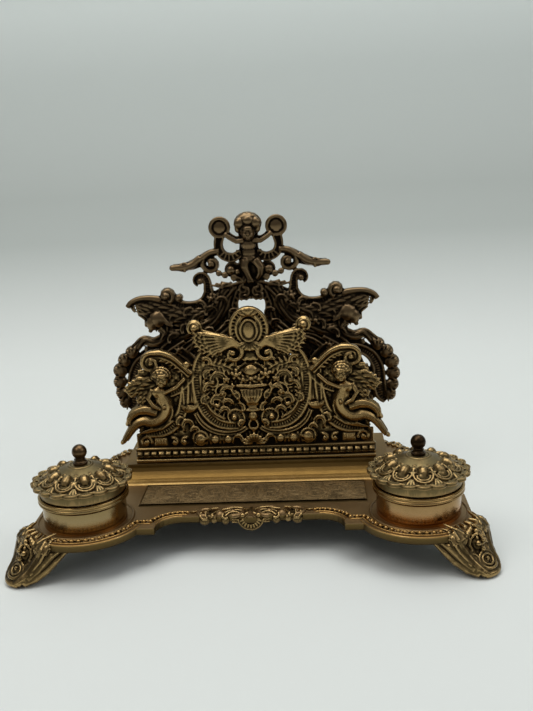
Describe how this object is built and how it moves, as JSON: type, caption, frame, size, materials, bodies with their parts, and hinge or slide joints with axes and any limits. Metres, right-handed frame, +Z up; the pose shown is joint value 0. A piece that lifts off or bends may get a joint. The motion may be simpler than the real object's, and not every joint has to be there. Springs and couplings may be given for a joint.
{
  "type": "desk inkstand",
  "caption": "Cast brass desk inkstand with a pierced scrollwork letter rack on a coved plinth, a pen tray, and lidded round ink wells on mask feet.",
  "frame": {"origin": "middle of the footprint, on the surface the feet stand on", "axes": "+X to the right along the stand, +Y to the rear through the rack, +Z up"},
  "size_m": [0.3146, 0.187, 0.2141],
  "materials": {
    "antique_cast_brass": "antique cast brass, dark in the recesses, rubbed on the high spots",
    "oxidised_cast_brass": "cast brass with a brownish oxidised skin",
    "polished_cup_brass": "turned and polished brass",
    "pressed_lid_brass": "pressed brass sheet, softly worn",
    "dark_knob_bronze": "dark reddish brown bronzed brass",
    "liner_glass": "clear pressed glass",
    "brass_screw": "dull machined brass"
  },
  "bodies": {
    "stand": {"base_plate": "antique_cast_brass", "rack_plinth": "antique_cast_brass", "plinth_screws": "brass_screw", "front_panel": "antique_cast_brass", "back_panel": "oxidised_cast_brass", "front_panel_nuts": "brass_screw", "back_panel_nuts": "brass_screw", "foot_front_left": "antique_cast_brass", "foot_front_right": "antique_cast_brass", "foot_rear_left": "antique_cast_brass", "foot_rear_right": "antique_cast_brass", "foot_screws": "brass_screw", "well_cup_left": "polished_cup_brass", "well_cup_right": "polished_cup_brass", "well_screws": "brass_screw", "well_nuts": "brass_screw"},
    "liner_left": {"ink_liner_left": "liner_glass"},
    "cover_left": {"lid_left": "pressed_lid_brass", "knob_collar_left": "dark_knob_bronze", "knob_left": "dark_knob_bronze", "knob_nut_left": "brass_screw"},
    "liner_right": {"ink_liner_right": "liner_glass"},
    "cover_right": {"lid_right": "pressed_lid_brass", "knob_collar_right": "dark_knob_bronze", "knob_right": "dark_knob_bronze", "knob_nut_right": "brass_screw"}
  },
  "joints": [
    {"name": "liner_left_lift", "type": "slide", "parent": "stand", "child": "liner_left", "axis": [0, 0, 1], "range_m": [0, 0.03]},
    {"name": "lid_left_lift", "type": "slide", "parent": "liner_left", "child": "cover_left", "axis": [0, 0, 1], "range_m": [0, 0.06]},
    {"name": "liner_right_lift", "type": "slide", "parent": "stand", "child": "liner_right", "axis": [0, 0, 1], "range_m": [0, 0.03]},
    {"name": "lid_right_lift", "type": "slide", "parent": "liner_right", "child": "cover_right", "axis": [0, 0, 1], "range_m": [0, 0.06]}
  ]
}
